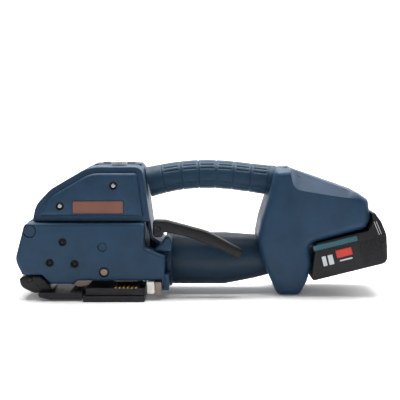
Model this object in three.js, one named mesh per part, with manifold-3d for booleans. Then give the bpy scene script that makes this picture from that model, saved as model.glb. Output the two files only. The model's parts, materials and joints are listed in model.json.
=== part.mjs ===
// Battery strapping tool: a hand tool that tensions, friction-welds and cuts plastic strap.
// Millimetres, +Z up, +X towards the battery, -Y the side where the strap goes in.
// The drawing datum is on the handle's centre plane, under the middle of the grip, on the floor.
// The last lines move the finished tool so that its origin is the bottom centre of its box.
import * as THREE from 'three';
import { mergeVertices } from 'three/addons/utils/BufferGeometryUtils.js';
import Module from 'manifold-3d';

const wasm = await Module();
wasm.setup();

// ---- Driving dimensions ----
const GAP = 0.3; // between pieces that touch
const WALL = 3; // moulded shells
const HEAD_TOP = 131.8;
const HEAD_REAR = -35; // where the motor tube meets the head
const COVER_SPLIT = 76.5; // height of the line between upper and lower cover
const JOINT_Y = -30; // plane where the near covers meet the head shell
const UPPER_FACE = -48; // outer face of the upper cover
const LOWER_FACE = -52; // outer face of the lower cover
const HEAD_FAR = 50;
const BASE_NEAR = -64; // near edge of the base plate
const BASE_TOP = 12.5;
const SLOT_TOP = 16.5; // underside of the welding plate
const FRAME_NEAR = -14; // chassis plate between strap side and gear side
const FRAME_FAR = -8;
const GEAR_NEAR = 14; // spur gears
const GEAR_FAR = 22;
const HOUSING_HALF = 36; // half width of the rear housing
const BATTERY_HALF = 37;
const GRIP_HALF = 18; // half width of the hand grip
const MOTOR_Z = 33.5; // height of the motor's axis, which lies in Y = 0
const TUBE_RADIUS = 27;
const BATTERY_TILT = THREE.MathUtils.degToRad(14);
const BATTERY_CORNER = [109.3, 14.5]; // lowest front corner of the battery, X and Z
const MODULE = 1.5; // spur gears
const PINION_TEETH = 12;
const IDLER_TEETH = 24;
const SHAFT_RADIUS = 4;
const BORE_PLAY = 0.4;
const FAR_AWAY = 200; // reach of a cutting tool that goes right out of the part

const TENSION_AXIS = [-119, 25.5]; // X and Z of the axles that run across the tool
const CROSS_AXIS = [-74, MOTOR_Z];
const ROCKER_AXIS = [-169.5, 19.5];
const LEVER_AXIS = [-42, 69.5];
const ECCENTRIC_Y = -27;
const ECCENTRIC_Z = 36;

// ---- Materials ----
const finish = (color, roughness, metalness = 0) =>
  new THREE.MeshStandardMaterial({ color, roughness, metalness });

const shellBlue = finish('#2b465e', 0.5);
const gripBlue = finish('#1f384b', 0.75);
const capBlue = finish('#1c3042', 0.45);
const blackPlastic = finish('#17191c', 0.55);
const blackMetal = finish('#1d1c20', 0.45, 0.6);
const steel = finish('#a9abad', 0.3, 1);
const darkSteel = finish('#5b5552', 0.4, 0.9);
const aluminium = finish('#b4b6b8', 0.45, 0.9);
const brass = finish('#b58a3c', 0.35, 1);
const bronzeLabel = finish('#84503e', 0.45, 0.3);
const ivory = finish('#e6e3da', 0.4);
const rubber = finish('#1a1a1a', 0.9);
const teal = finish('#2f5a63', 0.4);
const red = finish('#c8332a', 0.4);
const boardGreen = finish('#1f5b36', 0.5);
const clearLens = finish('#b9c7d3', 0.15);
const cellWrap = finish('#3a7f86', 0.35);

// ---- Solids ----
function solid(geometry) {
  const bare = geometry.clone();
  bare.deleteAttribute('normal');
  bare.deleteAttribute('uv');
  const merged = mergeVertices(bare);
  return new wasm.Manifold(new wasm.Mesh({
    numProp: 3,
    vertProperties: new Float32Array(merged.attributes.position.array),
    triVerts: new Uint32Array(merged.index.array),
  }));
}

function fromSolid(body) {
  const mesh = body.getMesh();
  const geometry = new THREE.BufferGeometry();
  geometry.setAttribute('position', new THREE.BufferAttribute(mesh.vertProperties, 3));
  geometry.setIndex(new THREE.BufferAttribute(mesh.triVerts, 1));
  return geometry;
}

const combine = (how, first, others) =>
  fromSolid(others.reduce((body, geometry) => body[how](solid(geometry)), solid(first)));
const join = (first, ...others) => combine('add', first, others);
const cut = (first, ...others) => combine('subtract', first, others);
const common = (first, ...others) => combine('intersect', first, others);

// A box between its limits.
function block(x0, x1, y0, y1, z0, z1) {
  const box = new THREE.BoxGeometry(x1 - x0, y1 - y0, z1 - z0);
  return box.translate((x0 + x1) / 2, (y0 + y1) / 2, (z0 + z1) / 2);
}

// Round bars along each axis, between two places on that axis.
function barY(radius, y0, y1, [x, z], sides = 14) {
  return new THREE.CylinderGeometry(radius, radius, y1 - y0, sides).translate(x, (y0 + y1) / 2, z);
}

function barX(radius, x0, x1, [y, z], sides = 14) {
  const bar = new THREE.CylinderGeometry(radius, radius, x1 - x0, sides);
  return bar.rotateZ(Math.PI / 2).translate((x0 + x1) / 2, y, z);
}

function barZ(radius, z0, z1, [x, y], sides = 14) {
  const bar = new THREE.CylinderGeometry(radius, radius, z1 - z0, sides);
  return bar.rotateX(Math.PI / 2).translate(x, y, (z0 + z1) / 2);
}

// A closed outline through corners [x, z, radius], each rounded to its radius.
function outline(corners) {
  const path = new THREE.Shape();
  corners.forEach(([x, z, radius], index) => {
    const here = new THREE.Vector2(x, z);
    const back = new THREE.Vector2(...corners.at(index - 1).slice(0, 2)).sub(here);
    const ahead = new THREE.Vector2(...corners[(index + 1) % corners.length].slice(0, 2)).sub(here);
    const halfTurn = (Math.PI - Math.abs(back.angleTo(ahead))) / 2;
    const trim = Math.min(radius * Math.tan(halfTurn), 0.48 * back.length(), 0.48 * ahead.length());
    const start = here.clone().addScaledVector(back.normalize(), trim);
    const end = here.clone().addScaledVector(ahead.normalize(), trim);
    if (index === 0) path.moveTo(start.x, start.y);
    else path.lineTo(start.x, start.y);
    path.quadraticCurveTo(x, z, end.x, end.y);
  });
  path.closePath();
  return path;
}

// The same corners moved inwards by a distance. Corners run clockwise seen from the near side.
function inset(corners, distance) {
  return corners.map(([x, z, radius], index) => {
    const here = new THREE.Vector2(x, z);
    const before = here.clone().sub(new THREE.Vector2(...corners.at(index - 1).slice(0, 2))).normalize();
    const next = corners[(index + 1) % corners.length];
    const after = new THREE.Vector2(...next.slice(0, 2)).sub(here).normalize();
    const inwardBefore = new THREE.Vector2(before.y, -before.x);
    const inwardAfter = new THREE.Vector2(after.y, -after.x);
    const mitre = inwardBefore.clone().add(inwardAfter);
    mitre.multiplyScalar(distance / (1 + inwardBefore.dot(inwardAfter)));
    return [x + mitre.x, z + mitre.y, Math.max(radius - distance, 1)];
  });
}

// An outline in X and Z drawn out from yNear to yFar, with both rims rounded by the bevel.
// A bevelled slab needs corners that are rounder than its bevel.
function slab(corners, yNear, yFar, bevel = 0, segments = 2) {
  const soft = corners.map(([x, z, radius]) => [x, z, Math.max(radius, 2 * bevel)]);
  const body = new THREE.ExtrudeGeometry(outline(soft), {
    depth: yFar - yNear - 2 * bevel,
    bevelEnabled: bevel > 0,
    bevelThickness: bevel,
    bevelSize: bevel,
    bevelOffset: -bevel,
    bevelSegments: 2,
    curveSegments: segments,
  });
  return body.rotateX(Math.PI / 2).translate(0, yFar - bevel, 0);
}

// A ring of alternate low and high points, drawn out across the tool: gears and knurled wheels.
function toothedBar(teeth, rootRadius, tipRadius, y0, y1, phase, rootShare = 0.26, tipShare = 0.1) {
  const path = new THREE.Shape();
  const pitch = (2 * Math.PI) / teeth;
  for (let tooth = 0; tooth < teeth; tooth += 1) {
    const centre = phase + tooth * pitch;
    const flank = [
      [-rootShare, rootRadius], [-tipShare, tipRadius], [tipShare, tipRadius], [rootShare, rootRadius],
    ];
    flank.forEach(([share, radius], index) => {
      const angle = centre + share * pitch;
      const draw = tooth === 0 && index === 0 ? 'moveTo' : 'lineTo';
      path[draw](radius * Math.cos(angle), radius * Math.sin(angle));
    });
  }
  path.closePath();
  const body = new THREE.ExtrudeGeometry(path, { depth: y1 - y0, bevelEnabled: false });
  return body.rotateX(Math.PI / 2).translate(0, y1, 0);
}

const tool = new THREE.Group();

function part(name, geometry, material, parent = tool) {
  const shape = geometry.index ? geometry.toNonIndexed() : geometry;
  shape.computeVertexNormals();
  const mesh = new THREE.Mesh(shape, material);
  mesh.name = name;
  parent.add(mesh);
  return mesh;
}

// ---- Head: shell and near covers ----
const headRearEdge = [[-57.5, HEAD_TOP, 9], [-48, 60, 4], [-36, 52, 3], [HEAD_REAR, 18.7, 3]];
const headCorners = [
  [-177, 24.5, 3], [-184, 39.5, 14], [-174, 75.5, 3], [-167, 77.5, 3], [-162.5, 97, 12],
  [-111, HEAD_TOP, 28], ...headRearEdge,
];
const upperCorners = [
  [-167, COVER_SPLIT + GAP, 3], [-162.5, 97, 12], [-111, HEAD_TOP, 28], [-57.5, HEAD_TOP, 9],
  [-49.4, COVER_SPLIT + GAP, 3],
];
const lowerCorners = [
  [-176.8, 24.4, 2], [-184, 39.5, 14], [-174, COVER_SPLIT - 1, 3], [-166, COVER_SPLIT, 2],
  [-55.4, COVER_SPLIT, 3], [-55.2, 52, 3], [HEAD_REAR, 43.6, 2], [HEAD_REAR, 18.7, 3],
  [-122, 18.7, 2], [-125.5, 15.2, 2], [-148.5, 15.2, 2], [-157.4, 24.3, 3],
];
const screwPlaces = [
  [-85.7, 113.4], [-138.8, 93.2], [-136, 57.8], [-149, 37], [-124.4, 36],
];
const SCREW_RADIUS = 3.6;
const SCREW_DEPTH = 2.4;
const PLUG_PLACE = [-96.8, 52.7];
const PLUG_RADIUS = 4.1;
const WELD_PIN_PLACE = [-95.3, 27.5];
const WELD_PIN_RADIUS = 3.6;
const CAP_PLACE = [-168.5, 68.5];
const CAP_RADIUS = 6;
const LABEL = { x0: -126, x1: -76, z0: 86, z1: 98, depth: 0.9 };
const PANEL = { x0: -108, x1: -60, y0: -6, y1: 22, depth: 1.2 };
const DIAL_PLACE = [-82, -19];
const DIAL_RADIUS = 8;
const buttonPlaces = [[-96, 8], [-72, 8]];
const BUTTON_RADIUS = 5.5;

function headShell() {
  const outer = common(
    slab(headCorners, -60, HEAD_FAR, 2),
    block(-FAR_AWAY, 0, JOINT_Y + GAP, FAR_AWAY, 0, FAR_AWAY),
  );
  const hollow = slab(inset(headCorners, WALL), -60 + WALL, HEAD_FAR - WALL);
  const underside = block(-180, HEAD_REAR - 5, -FAR_AWAY, GEAR_FAR + 6.5, 0, 28);
  const motorHole = barX(24.5, HEAD_REAR - 20, HEAD_REAR + 20, [0, MOTOR_Z], 24);
  const panelSeat = block(
    PANEL.x0 - GAP, PANEL.x1 + GAP, PANEL.y0 - GAP, PANEL.y1 + GAP, HEAD_TOP - PANEL.depth, FAR_AWAY,
  );
  const dialHole = barZ(3.4, HEAD_TOP - 10, FAR_AWAY, DIAL_PLACE);
  const buttonHoles = buttonPlaces.map((place) => barZ(BUTTON_RADIUS + GAP, HEAD_TOP - 10, FAR_AWAY, place));
  return cut(outer, hollow, underside, motorHole, panelSeat, dialHole, ...buttonHoles);
}

function screwSeats(face, places) {
  return places.map((place) => barY(SCREW_RADIUS + GAP, face - 1, face + SCREW_DEPTH + GAP, place));
}

function upperCover() {
  const rim = slab(upperCorners, UPPER_FACE + 5, JOINT_Y);
  const raised = slab(inset(upperCorners, 6), UPPER_FACE, JOINT_Y, 1.5);
  const hollow = slab(inset(upperCorners, 9), UPPER_FACE + 4, JOINT_Y + 5);
  const labelSeat = block(
    LABEL.x0 - GAP, LABEL.x1 + GAP, UPPER_FACE - 1, UPPER_FACE + LABEL.depth + GAP,
    LABEL.z0 - GAP, LABEL.z1 + GAP,
  );
  return cut(join(rim, raised), hollow, labelSeat, ...screwSeats(UPPER_FACE, screwPlaces.slice(0, 2)));
}

function lowerCover() {
  const body = slab(lowerCorners, LOWER_FACE, JOINT_Y + 6, 1);
  const shell = common(body, block(-FAR_AWAY, 0, -FAR_AWAY, JOINT_Y, 0, FAR_AWAY));
  const post = block(-37.6, HEAD_REAR + 4, LOWER_FACE + 3, JOINT_Y, 8.6, 25);
  const hollow = slab(inset(lowerCorners, WALL + 0.5), LOWER_FACE + 5, JOINT_Y + 5);
  const wheelWindow = block(-135, -104, LOWER_FACE + 5, JOINT_Y + 5, 0, 30);
  const weldWindow = block(-88, -54, LOWER_FACE + 5, JOINT_Y + 5, 0, 30);
  return cut(
    join(shell, post), hollow, wheelWindow, weldWindow,
    barY(CAP_RADIUS + GAP, LOWER_FACE - 1, LOWER_FACE + 3, CAP_PLACE),
    barY(PLUG_RADIUS + GAP, LOWER_FACE - 1, LOWER_FACE + 3, PLUG_PLACE),
    barY(WELD_PIN_RADIUS + GAP, LOWER_FACE - 1, JOINT_Y, WELD_PIN_PLACE),
    ...screwSeats(LOWER_FACE, screwPlaces.slice(2)),
  );
}

// A cap screw seen from the near side: a round head with a hexagon socket.
function screwHead(face, place) {
  const head = barY(SCREW_RADIUS, face + 0.4, face + SCREW_DEPTH, place);
  return cut(head, barY(1.7, face - 1, face + 1.6, place, 6));
}

part('head_shell', headShell(), shellBlue);
part('upper_cover', upperCover(), shellBlue);
part('lower_cover', lowerCover(), shellBlue);
part('label_plate', slab(
  [[LABEL.x0, LABEL.z0, 1], [LABEL.x0, LABEL.z1, 1], [LABEL.x1, LABEL.z1, 1], [LABEL.x1, LABEL.z0, 1]],
  UPPER_FACE + 0.1, UPPER_FACE + LABEL.depth,
), bronzeLabel);
screwPlaces.forEach((place, index) => {
  const face = index < 2 ? UPPER_FACE : LOWER_FACE;
  part(`cover_screw_${index + 1}`, screwHead(face, place), steel);
});
part('hole_plug', barY(PLUG_RADIUS, LOWER_FACE + 1.2, LOWER_FACE + 3 - GAP, PLUG_PLACE), capBlue);
part('pivot_cap', barY(CAP_RADIUS, LOWER_FACE + 1, LOWER_FACE + 3 - GAP, CAP_PLACE), capBlue);
part('weld_pin', barY(WELD_PIN_RADIUS, LOWER_FACE + 0.6, FRAME_NEAR - GAP, WELD_PIN_PLACE), darkSteel);

// ---- Controls on the top of the head ----
function controlPanel() {
  const plate = block(
    PANEL.x0, PANEL.x1, PANEL.y0, PANEL.y1, HEAD_TOP - PANEL.depth + GAP, HEAD_TOP + 0.4,
  );
  const holes = buttonPlaces.map((place) => barZ(BUTTON_RADIUS + GAP, HEAD_TOP - 5, HEAD_TOP + 5, place));
  return cut(plate, ...holes);
}

function dial() {
  const knurl = toothedBar(20, DIAL_RADIUS - 0.7, DIAL_RADIUS, HEAD_TOP + 0.4, HEAD_TOP + 5, 0, 0.4, 0.25);
  return knurl.rotateX(Math.PI / 2).translate(...DIAL_PLACE, 0);
}

// A push button: a stem in the shell under a low crown.
function pushButton([x, y]) {
  const top = HEAD_TOP + 1.8;
  const bottom = HEAD_TOP - 6;
  const profile = [
    [0, bottom], [BUTTON_RADIUS, bottom], [BUTTON_RADIUS, top - 0.8], [BUTTON_RADIUS - 1.2, top], [0, top],
  ];
  const turned = new THREE.LatheGeometry(profile.map(([r, z]) => new THREE.Vector2(r, z)), 20);
  return turned.rotateX(Math.PI / 2).translate(x, y, 0);
}

part('control_panel', controlPanel(), blackPlastic);
part('tension_dial', dial(), ivory);
part('tension_button', pushButton(buttonPlaces[0]), red);
part('weld_button', pushButton(buttonPlaces[1]), teal);

// ---- Chassis, base and strap path ----
const bore = ([x, z], radius = SHAFT_RADIUS) => barY(radius + BORE_PLAY, -FAR_AWAY, FAR_AWAY, [x, z]);

// The idler meshes with both pinions, so it stands at the same distance from each.
function idlerAxis() {
  const tension = new THREE.Vector2(...TENSION_AXIS);
  const cross = new THREE.Vector2(...CROSS_AXIS);
  const reach = (MODULE * (PINION_TEETH + IDLER_TEETH)) / 2;
  const span = cross.clone().sub(tension);
  const rise = Math.sqrt(reach ** 2 - (span.length() / 2) ** 2);
  const up = new THREE.Vector2(-span.y, span.x).normalize();
  return tension.add(cross).multiplyScalar(0.5).addScaledVector(up, rise).toArray();
}
const IDLER_AXIS = idlerAxis();

function headFrame() {
  const plate = slab([
    [-152, 15, 1], [-175, 15, 3], [-175, 36, 8], [-152, 94, 10], [-62, 94, 8], [-52, 58, 4], [-50, 13, 1],
    [-116, 13, 1], [-116, 15, 1],
  ], FRAME_NEAR, FRAME_FAR);
  const foot = block(-115, -54.5, FRAME_NEAR, 24, BASE_TOP + GAP, BASE_TOP + 2.3);
  const beltWindow = block(-61, -47, -FAR_AWAY, FAR_AWAY, 22, 47);
  return cut(
    join(plate, foot), beltWindow, bore(TENSION_AXIS), bore(CROSS_AXIS), bore(IDLER_AXIS),
    bore(ROCKER_AXIS, 2.5),
  );
}

function gearPlate() {
  const plate = slab([
    [-132, 18, 4], [-132, 40, 6], [-108, 60, 8], [-84, 60, 6], [-64, 46, 6], [-64, 18, 4],
  ], GEAR_FAR + 2, GEAR_FAR + 6);
  return cut(plate, bore(TENSION_AXIS), bore(CROSS_AXIS), bore(IDLER_AXIS));
}

// Ridges across the strap, at a pitch along X, rising from z0 to z1 (or hanging, if z1 is lower).
function ridges(x0, pitch, count, y0, y1, z0, z1) {
  const path = new THREE.Shape();
  path.moveTo(x0, z0);
  for (let ridge = 0; ridge < count; ridge += 1) {
    path.lineTo(x0 + (ridge + 0.5) * pitch, z1);
    path.lineTo(x0 + (ridge + 1) * pitch, z0);
  }
  const under = z0 - Math.sign(z1 - z0);
  path.lineTo(x0 + count * pitch, under);
  path.lineTo(x0, under);
  path.closePath();
  const body = new THREE.ExtrudeGeometry(path, { depth: y1 - y0, bevelEnabled: false });
  return body.rotateX(Math.PI / 2).translate(0, y1, 0);
}

const LIP_TOP = 6;
const ANVIL = { x0: -85, pitch: 4, count: 6 };
const anvilEnd = ANVIL.x0 + ANVIL.pitch * ANVIL.count;

function basePlate() {
  const foot = block(-115, -54.5, BASE_NEAR, 24, 0, LIP_TOP);
  const deck = block(-112.5, -54.5, BASE_NEAR + 3, 24, LIP_TOP - 1, BASE_TOP);
  const anvilSeat = block(
    ANVIL.x0 - GAP, anvilEnd + GAP, BASE_NEAR, FRAME_NEAR - 1, BASE_TOP - 1.5, BASE_TOP + 1,
  );
  return cut(join(foot, deck), anvilSeat);
}

function weldAnvil() {
  return ridges(ANVIL.x0, ANVIL.pitch, ANVIL.count, BASE_NEAR + 3, FRAME_NEAR - 2, BASE_TOP, BASE_TOP + 2);
}

part('head_frame', headFrame(), aluminium);
part('gear_plate', gearPlate(), aluminium);
part('base_plate', basePlate(), blackMetal);
part('weld_anvil', weldAnvil(), brass);
part('strap_guide', slab(
  [[-52.5, 6.6, 1], [-52.5, 18.3, 2], [-44.9, 18.3, 2], [-44.9, 6.6, 1]], LOWER_FACE - 4, JOINT_Y, 0.8,
), ivory);
part('back_plate', block(-44.4, -38.2, LOWER_FACE - 4, JOINT_Y, 5.6, 18.3), darkSteel);

// ---- Rocker: the jaw that opens under the tension wheel ----
const rockerArm = new THREE.Group();
tool.add(rockerArm);
const JAW_TOP = 8.4;

function rocker() {
  const nose = slab([
    [-174.2, 23.9, 4.5], [-159.5, 23.9, 3], [-150, 14.5, 1.5], [-149.5, JAW_TOP + GAP, 0.5],
    [-165, JAW_TOP + GAP, 5], [-174.2, 15, 5],
  ], LOWER_FACE + 2, FRAME_NEAR - 1, 1.5);
  return cut(nose, bore(ROCKER_AXIS, 2.5));
}

function rockerPlate() {
  const jaw = slab([
    [-160, JAW_TOP, 1], [-116, JAW_TOP, 0.5], [-116, 1.5, 1], [-148, 1.5, 2], [-158.5, 4, 2],
  ], BASE_NEAR + 4, FRAME_NEAR - 1);
  return join(jaw, ridges(-128, 2, 6, BASE_NEAR + 5, FRAME_NEAR - 2, JAW_TOP - 0.1, JAW_TOP + 2));
}

part('rocker', rocker(), blackPlastic, rockerArm);
part('rocker_plate', rockerPlate(), blackMetal, rockerArm);
part('rocker_pin', barY(2.5, LOWER_FACE + 1, FRAME_FAR + 2, ROCKER_AXIS), steel);

// ---- Lever that opens the jaw ----
function lever() {
  const arm = slab([
    [-47.2, 78.6, 3], [-34, 78.4, 12], [8, 67, 60], [43.3, 47.6, 2.5], [39.5, 38.8, 2.5], [22, 48, 12],
    [-12, 61.5, 40], [-36, 66.5, 4], [-38, 61, 3], [-47.2, 61, 3],
  ], -44, -31, 1.5);
  return cut(arm, bore(LEVER_AXIS, 2.5));
}

function leverBracket() {
  return cut(block(-46.8, -37, -30.6, -24, 62, 77), bore(LEVER_AXIS, 2.5));
}

part('lever', lever(), blackPlastic);
part('lever_bracket', leverBracket(), darkSteel);
part('lever_pin', barY(2.5, -45.5, -23, LEVER_AXIS), steel);
part('pull_rod', block(-150, -62, -22, -18, 62, 67), steel);

// ---- Tension drive: wheel, spur gears, right-angle gear ----
function meshPhase(from, to, fromTeeth, toTeeth, fromPhase) {
  const towards = Math.atan2(to[1] - from[1], to[0] - from[0]);
  const lead = towards - fromPhase;
  return towards + Math.PI + Math.PI / toTeeth + (lead * fromTeeth) / toTeeth;
}

function spurGear(teeth, phase, [x, z]) {
  const radius = (MODULE * teeth) / 2;
  const body = toothedBar(teeth, radius - 1.2 * MODULE, radius + 0.8 * MODULE, GEAR_NEAR, GEAR_FAR, phase);
  return cut(body.translate(x, 0, z), bore([x, z], SHAFT_RADIUS - BORE_PLAY + GAP));
}

const idlerPhase = meshPhase(CROSS_AXIS, IDLER_AXIS, PINION_TEETH, IDLER_TEETH, 0);
const tensionPhase = meshPhase(IDLER_AXIS, TENSION_AXIS, IDLER_TEETH, PINION_TEETH, idlerPhase);

const WHEEL_RADIUS = 14;
function tensionWheel() {
  const tread = toothedBar(28, WHEEL_RADIUS - 0.7, WHEEL_RADIUS, LOWER_FACE + 6, JOINT_Y + 2, 0, 0.45, 0.1);
  return cut(tread.translate(TENSION_AXIS[0], 0, TENSION_AXIS[1]), bore(TENSION_AXIS, SHAFT_RADIUS - 0.1));
}

part('tension_wheel', tensionWheel(), darkSteel);
part('tension_shaft', barY(SHAFT_RADIUS, LOWER_FACE + 5.5, GEAR_FAR + 5, TENSION_AXIS), steel);
part('tension_gear', spurGear(PINION_TEETH, tensionPhase, TENSION_AXIS), steel);
part('idler_shaft', barY(SHAFT_RADIUS, FRAME_NEAR, GEAR_FAR + 5, IDLER_AXIS), steel);
part('idler_gear', spurGear(IDLER_TEETH, idlerPhase, IDLER_AXIS), steel);
part('cross_shaft', barY(SHAFT_RADIUS, FRAME_NEAR, GEAR_FAR + 5, CROSS_AXIS), steel);
part('drive_gear', spurGear(PINION_TEETH, 0, CROSS_AXIS), steel);

// The face gear carries radial teeth on a disc and turns the motor's motion through a right angle.
const FACE_TEETH = 16;
const DRIVE_PINION_TEETH = 8;
const DRIVE_PINION_RADIUS = 6;
function faceGear() {
  const disc = barY(15, 8, 12, CROSS_AXIS, 32);
  const teeth = Array.from({ length: FACE_TEETH }, (_, index) => {
    const tooth = block(10, 14.5, 4.8, 9, -0.7, 0.7);
    const turn = ((index + 0.5) * 2 * Math.PI) / FACE_TEETH;
    return tooth.rotateY(turn).translate(CROSS_AXIS[0], 0, CROSS_AXIS[1]);
  });
  return cut(join(disc, ...teeth), bore(CROSS_AXIS, SHAFT_RADIUS - 0.1));
}

const BELT = { x0: -57.5, x1: -50.5, driveRadius: 7, drivenRadius: 5, thickness: 1.5 };
function drivePinion() {
  const teeth = toothedBar(
    DRIVE_PINION_TEETH, DRIVE_PINION_RADIUS - 1.5, DRIVE_PINION_RADIUS + 0.9, -64, -60, 0, 0.22, 0.12,
  );
  return teeth.rotateZ(-Math.PI / 2).translate(0, 0, MOTOR_Z);
}

function motorShaft() {
  const shaft = barX(3.5, -63.5, -46.4, [0, MOTOR_Z]);
  const pulley = barX(BELT.driveRadius, BELT.x0 - 0.5, BELT.x1 + 0.5, [0, MOTOR_Z], 24);
  return join(shaft, pulley, drivePinion());
}

part('face_gear', faceGear(), steel);

// ---- Motor and welding drive ----
const ECCENTRIC = { x0: -80, x1: -68, radius: 7, throw: 1 };

function eccentricShaft() {
  const place = [ECCENTRIC_Y, ECCENTRIC_Z];
  const shaft = barX(3.5, -84, -49, place);
  const pulley = barX(BELT.drivenRadius, BELT.x0 - 0.5, BELT.x1 + 0.5, place, 24);
  const raised = [ECCENTRIC_Y, ECCENTRIC_Z + ECCENTRIC.throw];
  const disc = barX(ECCENTRIC.radius, ECCENTRIC.x0, ECCENTRIC.x1, raised, 24);
  return join(shaft, pulley, disc);
}

// A closed belt round two pulleys: a loop outline in the Y-Z plane, drawn out along X.
function driveBelt() {
  const loop = (extra) => {
    const span = new THREE.Vector2(-ECCENTRIC_Y, MOTOR_Z - ECCENTRIC_Z);
    const big = BELT.driveRadius + extra;
    const small = BELT.drivenRadius + extra;
    const along = Math.atan2(span.y, span.x);
    const lean = Math.acos((big - small) / span.length());
    const path = new THREE.Shape();
    path.absarc(0, MOTOR_Z, big, along - lean, along + lean);
    path.absarc(ECCENTRIC_Y, ECCENTRIC_Z, small, along + lean, along - lean + 2 * Math.PI);
    path.closePath();
    return path;
  };
  const belt = loop(GAP + BELT.thickness);
  belt.holes.push(loop(GAP));
  const body = new THREE.ExtrudeGeometry(belt, {
    depth: BELT.x1 - BELT.x0, bevelEnabled: false, curveSegments: 12,
  });
  return body.rotateX(Math.PI / 2).rotateZ(Math.PI / 2).translate(BELT.x0, 0, 0);
}

const PLATE = { x0: -86, x1: -62, y0: LOWER_FACE + 6, y1: -18 };
const FORK_PLAY = ECCENTRIC.throw + 1.4;
function weldPlate() {
  const shoe = block(PLATE.x0, PLATE.x1, PLATE.y0, PLATE.y1, SLOT_TOP + 0.9, SLOT_TOP + 7);
  const grip = ridges(PLATE.x0 + 1, 2, 11, PLATE.y0, PLATE.y1, SLOT_TOP + 1, SLOT_TOP);
  const forkReach = ECCENTRIC.radius + FORK_PLAY;
  const forks = [-1, 1].map((side) => {
    const middle = ECCENTRIC_Y + side * (forkReach + 1);
    return block(ECCENTRIC.x0, ECCENTRIC.x1, middle - 1, middle + 1, SLOT_TOP + 5, ECCENTRIC_Z + 4);
  });
  const bridgeEnd = FRAME_NEAR - ECCENTRIC.throw - 2 * GAP;
  const bridge = block(
    ECCENTRIC.x0, ECCENTRIC.x1, PLATE.y1 - 2, bridgeEnd, SLOT_TOP + 4, SLOT_TOP + 7,
  );
  return join(shoe, grip, bridge, ...forks);
}

function cutterBlade() {
  return slab([
    [-58, SLOT_TOP + 2, 0.3], [-58, 26.5, 0.3], [-55.5, 26.5, 0.3], [-55.5, SLOT_TOP + 0.6, 0.3],
  ], PLATE.y0, PLATE.y1);
}

function motorTube() {
  const inner = TUBE_RADIUS - WALL;
  const profile = [
    [inner, HEAD_REAR + GAP], [TUBE_RADIUS + 2, HEAD_REAR + GAP], [TUBE_RADIUS + 2, HEAD_REAR + 5],
    [TUBE_RADIUS, HEAD_REAR + 7], [TUBE_RADIUS, 30], [TUBE_RADIUS - 1, 60], [TUBE_RADIUS - 3, 78],
    [inner - 2, 78], [inner, 55], [inner, HEAD_REAR + GAP],
  ];
  const turned = new THREE.LatheGeometry(profile.map(([r, x]) => new THREE.Vector2(r, x)), 28);
  return turned.rotateZ(-Math.PI / 2).translate(0, 0, MOTOR_Z);
}

part('motor_shaft', motorShaft(), steel);
part('drive_belt', driveBelt(), rubber);
part('eccentric_shaft', eccentricShaft(), steel);
part('weld_plate', weldPlate(), darkSteel);
part('cutter_blade', cutterBlade(), steel);
part('gearbox_case', barX(20, -46, -22, [0, MOTOR_Z], 28), aluminium);
part('motor_can', barX(21, -22 + GAP, 50, [0, MOTOR_Z], 28), blackMetal);
part('motor_tube', motorTube(), shellBlue);

// ---- Grip and rear housing: two halves and a soft sleeve ----
const housingCorners = [
  [109, 14, 3], [101, 0, 6], [79, 0, 6], [65, 31, 40], [58, 56, 20], [62, 77, 20], [70, 103, 6],
  [76, 127, 5], [91, 128.5, 12], [160, 104, 8], [169.5, 97.5, 4], [172.2, 78, 5], [168, 69, 3],
  [163, 66.8, 2], [116.4, 54, 3], [111.5, 49, 3], [113.8, 33, 12],
];
const gripLine = new THREE.CatmullRomCurve3([
  [-52, 113.2], [-26, 118.6], [0, 121.2], [26, 120.2], [52, 117.6], [78, 113],
].map(([x, z]) => new THREE.Vector3(x, 0, z)));
const GRIP_HALF_HEIGHT = 15;
const SLEEVE_WALL = 3;

// An oval bar along the grip's centre line.
function ovalBar(halfWidth, halfHeight, steps, curve = gripLine) {
  const oval = new THREE.Shape();
  oval.absellipse(0, 0, halfWidth, halfHeight, 0, 2 * Math.PI);
  return new THREE.ExtrudeGeometry(oval, {
    steps, curveSegments: 8, bevelEnabled: false, extrudePath: curve,
  });
}

function sleeveLine() {
  const points = [0, 0.3, 0.5, 0.7, 0.95].map((share) => gripLine.getPointAt(share));
  return new THREE.CatmullRomCurve3(points);
}

// Turns pieces drawn in the battery's own frame (s along the slide, h across it) into place.
const toBatteryPlace = (geometry) =>
  geometry.rotateY(-BATTERY_TILT).translate(BATTERY_CORNER[0], 0, BATTERY_CORNER[1]);

const TONGUE = { s0: 18, s1: 74, half: 20, h0: 36, h1: 42 };

function gripHalf(side) {
  const housing = slab(housingCorners, -HOUSING_HALF, HOUSING_HALF, 2);
  const core = ovalBar(GRIP_HALF - SLEEVE_WALL - GAP, GRIP_HALF_HEIGHT - SLEEVE_WALL - GAP, 9);
  const hollow = slab(inset(housingCorners, WALL), -HOUSING_HALF + WALL, HOUSING_HALF - WALL);
  const batterySlot = toBatteryPlace(block(
    TONGUE.s0 - 3, FAR_AWAY, -TONGUE.half - 0.5, TONGUE.half + 0.5, TONGUE.h0 - 1, TONGUE.h1 + 0.6,
  ));
  const slotFloor = block(40, 120, -HOUSING_HALF, HOUSING_HALF, -1, 0);
  const tubeHole = barX(TUBE_RADIUS + 0.4, 40, 85, [0, MOTOR_Z], 36);
  const lensHole = barZ(4.4, 120, 140, [88, 0]);
  const wireway = ovalBar(8, 7, 9);
  const half = side < 0
    ? block(-FAR_AWAY, FAR_AWAY, -FAR_AWAY, -GAP / 2, -10, FAR_AWAY)
    : block(-FAR_AWAY, FAR_AWAY, GAP / 2, FAR_AWAY, -10, FAR_AWAY);
  const whole = cut(join(housing, core), hollow, wireway, batterySlot, slotFloor, tubeHole, lensHole);
  return common(whole, half);
}

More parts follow.
